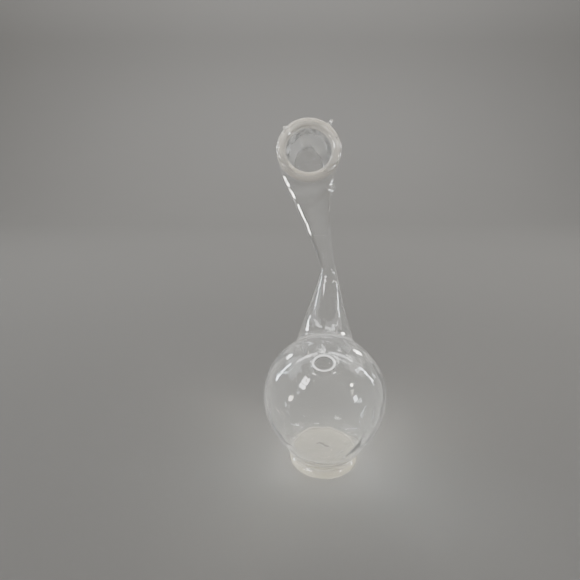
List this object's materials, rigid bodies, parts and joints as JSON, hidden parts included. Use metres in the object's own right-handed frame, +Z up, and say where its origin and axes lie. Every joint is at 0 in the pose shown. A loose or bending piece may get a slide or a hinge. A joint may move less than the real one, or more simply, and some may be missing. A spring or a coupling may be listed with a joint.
{
  "type": "retort flask",
  "caption": "Clear hand-blown glass retort flask: footed bulb with an open fill hole and a waisted neck bent up and forward to a thick-lipped mouth.",
  "frame": {"origin": "centre of the foot's underside, on the surface the flask stands on", "axes": "+Z up; the mouth and the fill hole face -Y; the neck leaves the bulb towards +Y; +X to the right seen from the mouth side"},
  "size_m": [0.1, 0.1273, 0.2771],
  "materials": {
    "clear_glass": "clear, smooth, fire-polished, slightly wavy",
    "thick_glass": "clear, thick, faintly warm grey"
  },
  "bodies": {
    "root": {"foot": "thick_glass", "bulb": "clear_glass", "fill_hole_collar": "clear_glass", "neck_cone": "clear_glass", "neck_throat": "clear_glass", "mouth_bell": "clear_glass", "mouth_lip": "thick_glass", "lug_upper_right": "clear_glass", "lug_upper_left": "clear_glass", "lug_lower_right": "clear_glass"}
  },
  "joints": []
}
